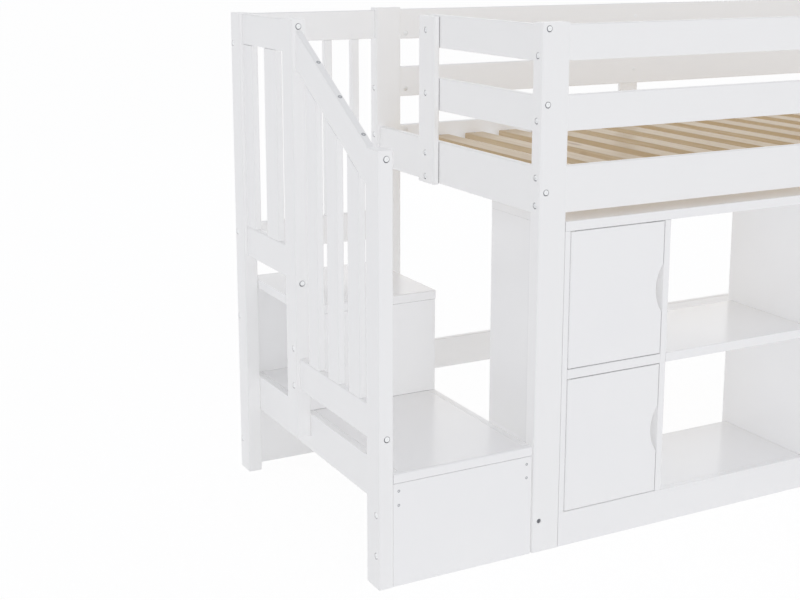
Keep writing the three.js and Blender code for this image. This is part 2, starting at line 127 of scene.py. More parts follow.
floor_reach = 60.0
floor_mesh = bpy.data.meshes.new("studio_floor")
floor_mesh.from_pydata(
    [(-floor_reach, -floor_reach, 0), (floor_reach, -floor_reach, 0),
     (floor_reach, floor_reach, 0), (-floor_reach, floor_reach, 0)], [], [(0, 1, 2, 3)])
floor_mesh.materials.append(floor_paper)
floor = bpy.data.objects.new("studio_floor", floor_mesh)
bpy.context.scene.collection.objects.link(floor)

# Two wide square lamps look at the middle of the bed
lamp_power = 20
lamp_width = 4.5
lamp_aim = Vector((0, 0, 0.8))
lamp_places = {"front_lamp": (-2.0, -6.0, 3.6), "back_lamp": (4.0, 6.0, 2.6)}
for name, place in lamp_places.items():
    light = bpy.data.lights.new(name, "AREA")
    light.energy = lamp_power
    light.size = lamp_width
    lamp = bpy.data.objects.new(name, light)
    lamp.location = place
    lamp.rotation_euler = (lamp_aim - Vector(place)).to_track_quat("-Z", "Y").to_euler()
    bpy.context.scene.collection.objects.link(lamp)

# Eight weak lamps without shadows lift the bed's shaded sides a little: four from over its corners and
# four stronger ones from under them, with a little more from the front
fill_from_above = 0.07
fill_from_below = 0.28
fill_from_front = 0.06
for x in (-1, 1):
    for y in (-1, 1):
        for z in (-1, 1):
            fill = bpy.data.lights.new("fill_lamp", "SUN")
            fill.energy = (fill_from_above if z > 0 else fill_from_below) + (fill_from_front if y < 0 else 0)
            fill.use_shadow = False
            lamp = bpy.data.objects.new("fill_lamp", fill)
            lamp.rotation_euler = Vector((-x, -y, -z)).to_track_quat("-Z", "Y").to_euler()
            lamp.visible_glossy = False
            bpy.context.scene.collection.objects.link(lamp)


# Bed posts
# Four uprights of solid pine, planed, with eased corners, and sprayed with white semi-gloss paint.
# The boards are drawn against them by furniture bolts that sit in counterbores in both outer faces.
ease_steps = 4
arris = 0.0005
arris_steps = 2
post_ease = 0.004
joint_reach = 0.006
pine_edge_grey = 0.4
smooth_below = math.radians(50)
parallel = 0.999


def new_material(name):
    """A material with an empty node tree, and the place of each point on its piece."""
    material = bpy.data.materials.new(name)
    material.use_nodes = True
    tree = material.node_tree
    tree.nodes.clear()
    return material, tree, add(tree, "ShaderNodeTexCoord").outputs["Object"]


def shade_in_joints(tree, colour):
    """Paints shade into a paint's colour in the narrow joints and gaps, darker where other parts come close.
    """
    open_air = add(tree, "ShaderNodeAmbientOcclusion", {"Distance": joint_reach}, samples=8)
    share = add(tree, "ShaderNodeMapRange", {"From Max": 0.5}, {"Value": open_air.outputs["AO"]})
    # A darker grey is mixed in where other parts are close: painted shade in the joints
    return add(tree, "ShaderNodeMix", {"A": linear("#A8A8AA")}, {0: share.outputs[0], "B": colour},
               data_type="RGBA").outputs["Result"]


def painted_pine(name, along, joint_shade):
    """White semi-gloss paint on planed pine: the eye sees a clean white, and close by the faint
    lines of the grain under the paint, a fine orange peel, and a greyer tone on the eased edges.
    With joint shade, the paint's colour is darker in the joints: painted shade."""
    material, tree, place = new_material(f"{name}_along_{along}")
    # Grain lines 5 mm apart across the board, and about 120 mm long
    across, lengthwise = 1 / 0.005, 1 / 0.12
    stretch = [lengthwise if axis == along else across for axis in "xyz"]
    grain_place = add(tree, "ShaderNodeMapping", {"Scale": stretch}, {"Vector": place})
    grain = add(tree, "ShaderNodeTexNoise", {"Scale": 1.0, "Detail": 3.0, "Roughness": 0.6},
                {"Vector": grain_place.outputs[0]}).outputs[0]
    # Orange peel of the sprayed paint: bumps 2.5 mm apart, drawn coarse enough to show
    peel = add(tree, "ShaderNodeTexNoise", {"Scale": 1 / 0.0025, "Detail": 1.0}, {"Vector": place}).outputs[0]
    # Uneven paint: patches about 150 mm wide
    patch = add(tree, "ShaderNodeTexNoise", {"Scale": 1 / 0.15, "Detail": 2.0}, {"Vector": place}).outputs[0]
    tone = add(tree, "ShaderNodeMix", links={0: patch, "A": grain, "B": patch}, data_type="FLOAT")
    body = add(tree, "ShaderNodeMix", {"A": linear("#F3F3F3"), "B": linear("#F0F0F0")}, {0: tone.outputs[0]},
               data_type="RGBA")
    # The eased edges are painted a greyer tone
    eased_edge = add(tree, "ShaderNodeAttribute", attribute_name="eased").outputs["Fac"]
    edge_grey = add(tree, "ShaderNodeMath", {1: pine_edge_grey}, {0: eased_edge}, operation="MULTIPLY")
    colour = add(tree, "ShaderNodeMix", {"B": linear("#D9D9D8")}, {
        0: edge_grey.outputs[0], "A": body.outputs["Result"]}, data_type="RGBA")
    gloss = add(tree, "ShaderNodeMapRange", {"To Min": 0.285, "To Max": 0.37}, {"Value": patch})
    lines = add(tree, "ShaderNodeBump", {"Strength": 0.25, "Distance": 0.0002}, {"Height": grain})
    skin = add(tree, "ShaderNodeBump", {"Strength": 0.12, "Distance": 0.00008},
               {"Height": peel, "Normal": lines.outputs[0]})
    paint = add(tree, "ShaderNodeBsdfPrincipled", {"IOR": 1.5}, {
        "Base Color": shade_in_joints(tree, colour.outputs["Result"]) if joint_shade else colour.outputs["Result"],
        "Roughness": gloss.outputs[0], "Normal": skin.outputs[0]})
    add(tree, "ShaderNodeOutputMaterial", links={0: paint.outputs[0]})
    return material


# Pine paint with shade painted into its joints, for most of the bed's boards
pine_paint = {along: painted_pine("painted_pine", along, True) for along in "xyz"}
direction = {"x": Vector((1, 0, 0)), "y": Vector((0, 1, 0)), "z": Vector((0, 0, 1))}


def prism(outline, travel):
    """A solid from its outline's corners and the way across it."""
    board = bmesh.new()
    near = [board.verts.new(corner) for corner in outline]
    far = [board.verts.new(Vector(corner) + travel) for corner in outline]
    board.faces.new(near)
    board.faces.new(far[::-1])
    for i in range(len(near)):
        j = (i + 1) % len(near)
        board.faces.new((near[i], far[i], far[j], near[j]))
    bmesh.ops.recalc_face_normals(board, faces=board.faces)
    return board


def eased(board, edges, ease, blunt=arris):
    """Rounds some edges of a solid, and takes the sharpness off all the others."""
    made = bmesh.ops.bevel(board, geom=edges, offset=ease, segments=ease_steps, profile=0.5,
                           affect="EDGES", clamp_overlap=True)
    rounded = set(made["faces"])
    mark = board.verts.layers.float.new("eased")
    for vert in board.verts:
        vert[mark] = 1.0 if all(face in rounded for face in vert.link_faces) else 0.0
    sharp = [edge for edge in board.edges if edge.calc_face_angle(0) > smooth_below]
    bmesh.ops.bevel(board, geom=sharp, offset=blunt, segments=arris_steps, profile=0.5,
                    affect="EDGES", clamp_overlap=True)
    return board


def solid(outline, travel, along, ease):
    """A board from its outline and the way across it, with the edges along its length rounded."""
    board = prism(outline, travel)
    long_edges = [
        edge for edge in board.edges
        if abs((edge.verts[0].co - edge.verts[1].co).normalized().dot(along)) > parallel]
    return eased(board, long_edges, ease)


def block(low, high, along, ease):
    """A plain board between two corners."""
    outline = [(low.x, low.y, low.z), (low.x, high.y, low.z), (low.x, high.y, high.z), (low.x, low.y, high.z)]
    return solid(outline, Vector((high.x - low.x, 0, 0)), direction[along], ease)


def box_of(node, along, ease):
    """A plain board in the box of its CAD node."""
    return block(*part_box(node), along, ease)


def settle(piece):
    """Turns what the modifiers make of a piece into its plain mesh."""
    graph = bpy.context.evaluated_depsgraph_get()
    graph.update()
    mesh = bpy.data.meshes.new_from_object(
        piece.evaluated_get(graph), preserve_all_data_layers=True, depsgraph=graph)
    piece.modifiers.clear()
    piece.data = mesh


def polish(piece):
    """Shades a piece smooth over its rounded edges and flat over its flats."""
    piece.data.polygons.foreach_set("use_smooth", [True] * len(piece.data.polygons))
    piece.data.set_sharp_from_angle(angle=smooth_below)
    flats = piece.modifiers.new("flats", "WEIGHTED_NORMAL")
    flats.keep_sharp = True
    flats.mode = "FACE_AREA"
    settle(piece)
    piece.data.name = piece.name


def dress(name, shape, material, cutter=None):
    """A finished piece: its shape, drilled if it has holes, with clean shading over its flats."""
    mesh = bpy.data.meshes.new(name)
    shape.to_mesh(mesh)
    shape.free()
    piece = bpy.data.objects.new(name, mesh)
    bpy.context.scene.collection.objects.link(piece)
    mesh.materials.append(material)
    if cutter:
        drill = piece.modifiers.new("drill", "BOOLEAN")
        drill.object = cutter
        drill.operation = "DIFFERENCE"
        drill.solver = "EXACT"
        settle(piece)
        bpy.data.objects.remove(cutter)
    polish(piece)
    return piece


def stand_for(piece, node, body="bed"):
    """The piece takes its CAD node's place on a body: the node is hidden, and the piece rides the body."""
    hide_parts(node)
    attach(piece, body)


def rings(steps, sides=24):
    """A turned solid along Z from rings, each a function of the angle or a radius, with its height."""
    turned = bmesh.new()
    rows = []
    for radius, height in steps:
        row = []
        for i in range(sides):
            angle = 2 * math.pi * i / sides
            r = radius(angle) if callable(radius) else radius
            row.append(turned.verts.new((r * math.cos(angle), r * math.sin(angle), height)))
        rows.append(row)
    turned.faces.new(rows[0][::-1])
    turned.faces.new(rows[-1])
    for low, high in zip(rows, rows[1:]):
        for i in range(sides):
            j = (i + 1) % sides
            turned.faces.new((low[i], low[j], high[j], high[i]))
    bmesh.ops.recalc_face_normals(turned, faces=turned.faces)
    return turned


hole_rim = 0.0004
bit_overshoot = 0.002


def holes(kinds, rim=hole_rim):
    """One cutter for all holes of a piece. Each hole has its place, radius and depth, and a place is a
    point on the face and the way out of it."""
    cutter = bmesh.new()
    for (point, out), radius, depth in kinds:
        bit = rings([(radius, -depth), (radius, -rim), (radius + rim, 0), (radius + rim, bit_overshoot)])
        turn = Vector(out).to_track_quat("Z", "Y").to_matrix()
        for vert in bit.verts:
            vert.co = turn @ vert.co + Vector(point)
        mesh = bpy.data.meshes.new("bit")
        bit.to_mesh(mesh)
        cutter.from_mesh(mesh)
        bit.free()
    made = bpy.data.meshes.new("cutter")
    cutter.to_mesh(made)
    cutter.free()
    piece = bpy.data.objects.new("cutter", made)
    bpy.context.scene.collection.objects.link(piece)
    return piece


bolt_hole = 0.0096
bolt_hole_depth = 0.0042
bolt_places = []
foot_screw = 0.098
foot_hole = 0.0074
foot_hole_depth = 0.006
foot_screws = []


def bolted(places, feet=()):
    """Counterbores for furniture bolts, which are all set in the section on bolts."""
    bolt_places.extend(places)
    foot_screws.extend(feet)
    kinds = [(place, bolt_hole, bolt_hole_depth) for place in places]
    return holes(kinds + [(place, foot_hole, foot_hole_depth) for place in feet])


# Heights of the bolts into the end boards and into the long boards
end_bolts = (1.550, 1.339, 1.090)
side_bolts = (1.475, 1.293, 1.131, 1.051)
stretcher_bolt = 0.3015
bolt_inset = 0.023

for end in ("left", "right"):
    for side in ("front", "back"):
        node = f"bed_post_{side}_{end}"
        low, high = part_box(node)
        out_x, out_y = (-1 if end == "left" else 1), (-1 if side == "front" else 1)
        face_x, face_y = (low.x if out_x < 0 else high.x), (low.y if out_y < 0 else high.y)
        places = [((face_x - out_x * bolt_inset, face_y, z), (0, out_y, 0)) for z in end_bolts]
        heights = side_bolts + ((stretcher_bolt,) if side == "back" else ())
        places += [((face_x, face_y - out_y * bolt_inset, z), (out_x, 0, 0)) for z in heights]
        feet = [((face_x - out_x * bolt_inset, face_y, foot_screw), (0, out_y, 0))] if side == "front" else []
        post = dress(f"{node}_painted", box_of(node, "z", post_ease), pine_paint["z"], bolted(places, feet))
        stand_for(post, node)


# Side rails, end rails, guards, stretcher and batten
# Planed pine boards, 22 mm thick, with eased long edges and square ends, painted white. Each end meets
# a post, and a bolt through the post pulls it tight by a barrel nut in a cross hole near the board's end.
board_ease = 0.004
nut_hole = 0.0076
nut_hole_depth = 0.004
nut_from_post = 0.026
nut_places = []


def nut_holes(places):
    """Cross holes for barrel nuts, which are set in the section on bolts."""
    nut_places.extend(places)
    return holes([(place, nut_hole, nut_hole_depth) for place in places])


# Heights of the nuts in the boards along the bed, and in those across its ends
long_boards = {
    "side_rail_front": (1.141, 1.051), "side_rail_back": (1.141, 1.051),
    "front_guard_middle": (1.285,), "back_guard_middle": (1.285,),
    "front_guard_top": (1.478,), "back_guard_top": (1.478,),
    "low_back_stretcher": (stretcher_bolt,),
}
end_boards = {
    "end_rail": (1.090,), "guard_middle": (1.339,), "guard_top": (1.540,),
}

for node, heights in long_boards.items():
    low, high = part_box(node)
    inner, out = (high.y, 1) if "front" in node else (low.y, -1)
    places = [((x, inner, z), (0, out, 0))
              for x in (low.x + nut_from_post, high.x - nut_from_post) for z in heights]
    board = dress(f"{node}_painted", box_of(node, "x", board_ease), pine_paint["x"],
                  nut_holes(places))
    stand_for(board, node)

for end in ("left", "right"):
    for kind, heights in end_boards.items():
        node = f"{kind}_{end}" if kind == "end_rail" else f"{end}_{kind}"
        low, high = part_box(node)
        inner, out = (high.x, 1) if end == "left" else (low.x, -1)
        ends = [low.y + nut_from_post]
        if not (end == "left" and kind != "end_rail"):
            ends.append(high.y - nut_from_post)
        places = [((inner, y, z), (out, 0, 0)) for y in ends for z in heights]
        board = dress(f"{node}_painted", box_of(node, "y", board_ease), pine_paint["y"],
                      nut_holes(places))
        stand_for(board, node)

# The batten: screwed on behind the back boards, in the middle of the bed's length
batten_ease = 0.003
bed_middle_x = 0.255
guard_screws = (1.513, 1.313)
batten = dress("back_batten_painted", box_of("back_batten", "z", batten_ease), pine_paint["z"])
stand_for(batten, "back_batten")
back_rail_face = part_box("side_rail_back")[0].y
batten_screws = [((bed_middle_x, back_rail_face, z), (0, -1, 0)) for z in guard_screws]

# The entry post: bolted from outside into the boards of the left end that stop behind it
entry_ease = 0.007
entry_bolts_y = 0.120
entry_bolts = guard_screws + (1.120, 1.043)
entry_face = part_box("entry_guard_post")[0].x
entry_places = [((entry_face, entry_bolts_y, z), (-1, 0, 0)) for z in entry_bolts]
entry_post = dress("entry_guard_post_painted", box_of("entry_guard_post", "z", entry_ease),
                   pine_paint["z"], bolted(entry_places))
stand_for(entry_post, "entry_guard_post")


# Slats
# Fifteen bare pine slats across the bed, planed, with rounded edges and sawn ends. They lie on two white
# ledgers inside the side rails, and one countersunk screw holds each end.
slat_width = 0.076
slat_thickness = 0.020
slat_pitch = 0.1426
slat_count = 15
slat_top = 1.116
slat_edge = 0.0035
ledger_width = 0.030
ledger_height = 0.040
ledger_edge = 0.003
housing = 0.001
fit = 0.0003


def bare_pine():
    """Planed, unpainted pine: pale yellow wood with browner summer lines, a few knots and a dull sheen."""
    material, tree, place = new_material("planed_bare_pine")
    # Growth lines 7 mm apart across the slat, and half a metre long
    line_place = add(tree, "ShaderNodeMapping", {"Scale": (1 / 0.007, 1 / 0.5, 1 / 0.007)}, {"Vector": place})
    lines = add(tree, "ShaderNodeTexNoise", {
        "Scale": 1.0, "Detail": 4.0, "Roughness": 0.62, "Distortion": 0.8}, {
        "Vector": line_place.outputs[0]}).outputs[0]
    # Fibres 1 mm apart, and 50 mm long
    fibre_place = add(tree, "ShaderNodeMapping", {"Scale": (1 / 0.001, 1 / 0.05, 1 / 0.001)}, {
        "Vector": place})
    fibre = add(tree, "ShaderNodeTexNoise", {"Scale": 1.0, "Detail": 2.0}, {
        "Vector": fibre_place.outputs[0]}).outputs[0]
    # Knots: one to every half metre of slat or so, some 15 mm wide and drawn out along the grain
    knot_place = add(tree, "ShaderNodeMapping", {"Scale": (1 / 0.14, 1 / 0.45, 1 / 0.3)}, {"Vector": place})
    knot = add(tree, "ShaderNodeTexVoronoi", {"Scale": 1.0}, {
        "Vector": knot_place.outputs[0]}).outputs["Distance"]
    core = add(tree, "ShaderNodeMapRange", {"From Min": 0.03, "From Max": 0.13, "To Min": 1.0, "To Max": 0.0},
               {"Value": knot})
    summer = add(tree, "ShaderNodeValToRGB", links={0: lines})
    summer.color_ramp.elements[0].position = 0.38
    summer.color_ramp.elements[0].color = linear("#D2C2A6")
    summer.color_ramp.elements[1].position = 0.68
    summer.color_ramp.elements[1].color = linear("#B4956D")
    fine = add(tree, "ShaderNodeMix", {"B": linear("#C4AD8A")}, {
        0: fibre, "A": summer.outputs[0]}, data_type="RGBA")
    tone = add(tree, "ShaderNodeAttribute", attribute_name="tone").outputs["Fac"]
    toned = add(tree, "ShaderNodeMix", {"B": linear("#BDA47E")}, {
        0: tone, "A": fine.outputs["Result"]}, data_type="RGBA")
    colour = add(tree, "ShaderNodeMix", {"B": linear("#8A5E33")}, {
        0: core.outputs[0], "A": toned.outputs["Result"]}, data_type="RGBA")
    gloss = add(tree, "ShaderNodeMapRange", {"To Min": 0.285, "To Max": 0.38}, {"Value": lines})
    ribs = add(tree, "ShaderNodeBump", {"Strength": 0.35, "Distance": 0.0003}, {"Height": lines})
    fluff = add(tree, "ShaderNodeBump", {"Strength": 0.3, "Distance": 0.0001},
                {"Height": fibre, "Normal": ribs.outputs[0]})
    wood = add(tree, "ShaderNodeBsdfPrincipled", {"IOR": 1.5}, {
        "Base Color": colour.outputs["Result"], "Roughness": gloss.outputs[0], "Normal": fluff.outputs[0]})
    add(tree, "ShaderNodeOutputMaterial", links={0: wood.outputs[0]})
    return material


def new_tree(name, sockets):
    """A Geometry Nodes tree with its inputs, and a geometry input and output."""
    tree = bpy.data.node_groups.new(name, "GeometryNodeTree")
    tree.interface.new_socket(name="Geometry", in_out="OUTPUT", socket_type="NodeSocketGeometry")
    tree.interface.new_socket(name="Geometry", in_out="INPUT", socket_type="NodeSocketGeometry")
    for label, kind in sockets.items():
        tree.interface.new_socket(name=label, in_out="INPUT", socket_type=f"NodeSocket{kind}")
    return tree


def grow(name, tree, values, mesh=None):
    """Runs a tree with its inputs' values and gives the result as a plain piece."""
    piece = bpy.data.objects.new(name, mesh or bpy.data.meshes.new(name))
    bpy.context.scene.collection.objects.link(piece)
    made = piece.modifiers.new("rows", "NODES")
    made.node_group = tree
    for item in tree.interface.items_tree:
        if item.item_type == "SOCKET" and item.in_out == "INPUT" and item.name in values:
            made[item.identifier] = values[item.name]
    settle(piece)
    polish(piece)
    return piece


# A row of straight bars: each is a section with rounded corners that follows a line
bar_row = new_tree("row_of_bars", {
    "Start": "Vector", "End": "Vector", "Section Width": "Float", "Section Height": "Float",
    "Corner Radius": "Float", "Count": "Int", "Pitch": "Vector", "Tone Seed": "Int", "Finish": "Material"})
given = add(bar_row, "NodeGroupInput").outputs
section = add(bar_row, "GeometryNodeCurvePrimitiveQuadrilateral", links={
    "Width": given["Section Width"], "Height": given["Section Height"]})
rounded_section = add(bar_row, "GeometryNodeFilletCurve", {"Count": 4}, {
    "Curve": section.outputs[0], "Radius": given["Corner Radius"]}, mode="POLY")
line = add(bar_row, "GeometryNodeCurvePrimitiveLine", links={"Start": given["Start"], "End": given["End"]})
bar = add(bar_row, "GeometryNodeCurveToMesh", {"Fill Caps": True}, {
    "Curve": line.outputs[0], "Profile Curve": rounded_section.outputs[0]})
spots = add(bar_row, "GeometryNodeMeshLine", links={"Count": given["Count"], "Offset": given["Pitch"]})
row = add(bar_row, "GeometryNodeInstanceOnPoints", links={
    "Points": spots.outputs[0], "Instance": bar.outputs[0]})
luck = add(bar_row, "FunctionNodeRandomValue", {"Min": 0.0, "Max": 0.75}, {
    "Seed": given["Tone Seed"]}, data_type="FLOAT")
toned_row = add(bar_row, "GeometryNodeStoreNamedAttribute", {"Name": "tone"}, {
    "Geometry": row.outputs[0], "Value": luck.outputs["Value"]}, data_type="FLOAT", domain="INSTANCE")
real_row = add(bar_row, "GeometryNodeRealizeInstances", links={0: toned_row.outputs[0]})
finished_row = add(bar_row, "GeometryNodeSetMaterial", links={
    "Geometry": real_row.outputs[0], "Material": given["Finish"]})
add(bar_row, "NodeGroupOutput", links={0: finished_row.outputs[0]})

pine = bare_pine()
deck_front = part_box("bed_post_front_left")[1].y + fit
deck_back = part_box("bed_post_back_left")[0].y - fit
first_slat = bed_middle_x - (slat_count - 1) * slat_pitch / 2
slats = grow("bare_pine_slats", bar_row, {
    "Start": (first_slat, deck_front, slat_top - slat_thickness / 2),
    "End": (first_slat, deck_back, slat_top - slat_thickness / 2),
    "Section Width": slat_width, "Section Height": slat_thickness, "Corner Radius": slat_edge,
    "Count": slat_count, "Pitch": (slat_pitch, 0, 0), "Tone Seed": 7, "Finish": pine})
stand_for(slats, "slat_deck")

small_screws = []
ledger_top = slat_top - slat_thickness + housing
for side, out in (("front", 1), ("back", -1)):
    rail_low, rail_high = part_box(f"side_rail_{side}")
    against = rail_high.y + fit if side == "front" else rail_low.y - fit
    near, far = sorted((against, against + out * ledger_width))
    ledger = dress(f"painted_ledger_{side}", block(
        Vector((rail_low.x, near, ledger_top - ledger_height)), Vector((rail_high.x, far, ledger_top)),
        "x", ledger_edge), pine_paint["x"])
    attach(ledger, "bed")
    for i in range(slat_count):
        x = first_slat + i * slat_pitch
        small_screws.append(((x, (near + far) / 2, slat_top), (0, 0, 1)))
        # The ledger's own screws go in between every other pair of slats
        if i % 2 == 0 and i < slat_count - 1:
            spot = (x + slat_pitch / 2, against + out * ledger_width, ledger_top - ledger_height / 2)
            small_screws.append((spot, (0, out, 0)))


# Cupboard
# Fibreboard panels and boards, 18 to 29 mm thick, with sanded edges and white sprayed paint. They are
# dowelled and screwed into a unit that is open at the back. The plinth fills a notch in the side panels.
panel_edge = 0.0015
board_edge_grey = 0.5
pin_hole = 0.0028
pin_hole_depth = 0.014
fitting_rim = 0.0002


def painted_board(name, joint_shade):
    """White sprayed paint on fibreboard: smoother and glossier than on the pine, with no grain, only
    the faint orange peel of the spray and a hardly seen unevenness of the white. With joint shade, the
    paint's colour is darker in the joints: painted shade."""
    material, tree, place = new_material(name)
    # Patches of the spray gun's passes, about 220 mm wide
    patch = add(tree, "ShaderNodeTexNoise", {"Scale": 1 / 0.22, "Detail": 2.0}, {"Vector": place}).outputs[0]
    # Orange peel, 3 mm apart, drawn coarse enough to show
    peel = add(tree, "ShaderNodeTexNoise", {"Scale": 1 / 0.003, "Detail": 1.0}, {"Vector": place}).outputs[0]
    # Dust nibs that were sanded over: tiny specks, 12 mm apart
    nib = add(tree, "ShaderNodeTexVoronoi", {"Scale": 1 / 0.012}, {"Vector": place}).outputs["Distance"]
    body = add(tree, "ShaderNodeMix", {"A": linear("#F3F3F3"), "B": linear("#F0F0F1")}, {0: patch},
               data_type="RGBA")
    # The eased edges are painted a greyer tone
    eased_edge = add(tree, "ShaderNodeAttribute", attribute_name="eased").outputs["Fac"]
    edge_grey = add(tree, "ShaderNodeMath", {1: board_edge_grey}, {0: eased_edge}, operation="MULTIPLY")
    colour = add(tree, "ShaderNodeMix", {"B": linear("#DFDFDE")}, {
        0: edge_grey.outputs[0], "A": body.outputs["Result"]}, data_type="RGBA")
    gloss = add(tree, "ShaderNodeMapRange", {"To Min": 0.16, "To Max": 0.25}, {"Value": patch})
    speck = add(tree, "ShaderNodeMapRange", {"From Min": 0.0, "From Max": 0.06, "To Min": 1.0, "To Max": 0.0},
                {"Value": nib})
    nibs = add(tree, "ShaderNodeBump", {"Strength": 0.2, "Distance": 0.00005}, {"Height": speck.outputs[0]})
    skin = add(tree, "ShaderNodeBump", {"Strength": 0.1, "Distance": 0.00008},
               {"Height": peel, "Normal": nibs.outputs[0]})
    paint = add(tree, "ShaderNodeBsdfPrincipled", {"IOR": 1.5}, {
        "Base Color": shade_in_joints(tree, colour.outputs["Result"]) if joint_shade else colour.outputs["Result"],
        "Roughness": gloss.outputs[0], "Normal": skin.outputs[0]})
    add(tree, "ShaderNodeOutputMaterial", links={0: paint.outputs[0]})
    return material


# Fibreboard paint with shade painted into its joints, and the same paint without it
board_paint = painted_board("painted_fibreboard", True)
board_paint_no_joint_shade = painted_board("painted_fibreboard_clean", False)
plinth_low, plinth_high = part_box("cabinet_plinth")
for node in ("cabinet_left_panel", "cabinet_right_panel"):
    low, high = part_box(node)
    behind, above = plinth_high.y + fit, plinth_high.z + fit
    outline = [(low.x, behind, low.z), (low.x, high.y, low.z), (low.x, high.y, high.z),
               (low.x, low.y, high.z), (low.x, low.y, above), (low.x, behind, above)]
    panel = solid(outline, Vector((high.x - low.x, 0, 0)), direction["z"], panel_edge)
    paint = board_paint_no_joint_shade if node == "cabinet_left_panel" else board_paint
    stand_for(dress(f"{node}_painted", panel, paint), node)

pin_low, pin_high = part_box("pivot_pin_middle")
pivot_x, pivot_y = (pin_low.x + pin_high.x) / 2, (pin_low.y + pin_high.y) / 2
unit_boards = {
    "cabinet_divider": ("z", None), "cabinet_bottom_board": ("x", None), "open_bay_shelf": ("x", None),
    "cabinet_top_board": ("x", -1), "door_bay_shelf": ("x", 1), "cabinet_plinth": ("x", 1),
}
for node, (along, pin_side) in unit_boards.items():
    low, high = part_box(node)
    drill = None
    if pin_side:
        face = high.z if pin_side > 0 else low.z
        through = high.z - low.z + bit_overshoot
        depth = through if node == "door_bay_shelf" else pin_hole_depth
        drill = holes([(((pivot_x, pivot_y, face), (0, 0, pin_side)), pin_hole, depth)], fitting_rim)
    paint = board_paint_no_joint_shade if node == "cabinet_plinth" else board_paint
    board = dress(f"{node}_painted", box_of(node, along, panel_edge), paint, drill)
    stand_for(board, node)


# Cupboard doors
# Two doors of 18 mm fibreboard, sprayed white, rounded at the hinge edge so that they turn clear of the
# panel. A crescent is milled into the free edge for the fingers.
hinge_round = 0.0045
door_arris = 0.0008
pull_depth = 0.024
pull_radius = 0.126
pull_steps = 31
bush_hole = 0.0048
bush_hole_depth = 0.0153

for door in ("lower_door", "upper_door"):
    low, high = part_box(door)
    middle_x = high.x - pull_depth + pull_radius
    middle_z = (low.z + high.z) / 2
    half = math.acos(1 - pull_depth / pull_radius)
    turns = [half * (2 * i / pull_steps - 1) for i in range(pull_steps + 1)]
    pull = [(middle_x - pull_radius * math.cos(turn), low.y, middle_z + pull_radius * math.sin(turn))
            for turn in turns]
    outline = [(low.x, low.y, low.z), (high.x, low.y, low.z), *pull, (high.x, low.y, high.z),
               (low.x, low.y, high.z)]
    leaf = prism(outline, Vector((0, high.y - low.y, 0)))
    hinge_edges = [
        edge for edge in leaf.edges
        if max(vert.co.x for vert in edge.verts) < low.x + fit
        and abs(edge.verts[0].co.y - edge.verts[1].co.y) < fit]
    eased(leaf, hinge_edges, hinge_round, door_arris)
    ends = [((pivot_x, pivot_y, high.z), (0, 0, 1)), ((pivot_x, pivot_y, low.z), (0, 0, -1))]
    drill = holes([(end, bush_hole, bush_hole_depth) for end in ends], fitting_rim)
    stand_for(dress(f"{door}_painted", leaf, board_paint, drill), door, door)


# Door fittings
# Zinc plated steel pins turn in white nylon bushes that are pressed into the doors' edges. A pale grey
# catch with a magnet under the board over each door holds a steel strike plate on the door's inner face.
def plated(name, pale, dark):
    """Turned and pressed steel, plated or oiled: a bluish metal with a soft, uneven shine. Bright zinc is
    nearly white, dulled zinc is a pale grey, and oiled steel is a darker grey."""
    material, tree, place = new_material(name)
    # Crystals and handling marks of the plating, about 1.5 mm wide, drawn coarse enough to show
    bloom = add(tree, "ShaderNodeTexNoise", {"Scale": 1 / 0.0015, "Detail": 3.0, "Roughness": 0.6},
                {"Vector": place}).outputs[0]
    # Turning marks 0.3 mm apart
    marks = add(tree, "ShaderNodeTexNoise", {"Scale": 1 / 0.0003, "Detail": 1.0}, {
        "Vector": place}).outputs[0]
    colour = add(tree, "ShaderNodeMix", {"A": linear(pale), "B": linear(dark)}, {0: bloom},
                 data_type="RGBA")
    gloss = add(tree, "ShaderNodeMapRange", {"To Min": 0.285, "To Max": 0.42}, {"Value": bloom})
    skin = add(tree, "ShaderNodeBump", {"Strength": 0.2, "Distance": 0.00003}, {"Height": marks})
    metal = add(tree, "ShaderNodeBsdfPrincipled", {"Metallic": 1.0}, {
        "Base Color": colour.outputs["Result"], "Roughness": gloss.outputs[0], "Normal": skin.outputs[0]})
    add(tree, "ShaderNodeOutputMaterial", links={0: metal.outputs[0]})
    return material


def moulded(name, pale, dark, rough_low, rough_high, texture):
    """Moulded plastic: an even colour with faint flow streaks, and the mould's fine texture as a dull
    sheen."""
    material, tree, place = new_material(name)
    # Flow streaks 6 mm wide, and the mould's texture at its own spacing
    flow = add(tree, "ShaderNodeTexNoise", {"Scale": 1 / 0.006, "Detail": 2.0, "Distortion": 1.0},
               {"Vector": place}).outputs[0]
    grit = add(tree, "ShaderNodeTexNoise", {"Scale": 1 / texture, "Detail": 1.0}, {
        "Vector": place}).outputs[0]
    colour = add(tree, "ShaderNodeMix", {"A": linear(pale), "B": linear(dark)}, {0: flow}, data_type="RGBA")
    gloss = add(tree, "ShaderNodeMapRange", {"To Min": rough_low, "To Max": rough_high}, {"Value": grit})
    skin = add(tree, "ShaderNodeBump", {"Strength": 0.3, "Distance": 0.00003}, {"Height": grit})
    plastic = add(tree, "ShaderNodeBsdfPrincipled", {"IOR": 1.5}, {
        "Base Color": colour.outputs["Result"], "Roughness": gloss.outputs[0], "Normal": skin.outputs[0]})
    add(tree, "ShaderNodeOutputMaterial", links={0: plastic.outputs[0]})
    return material


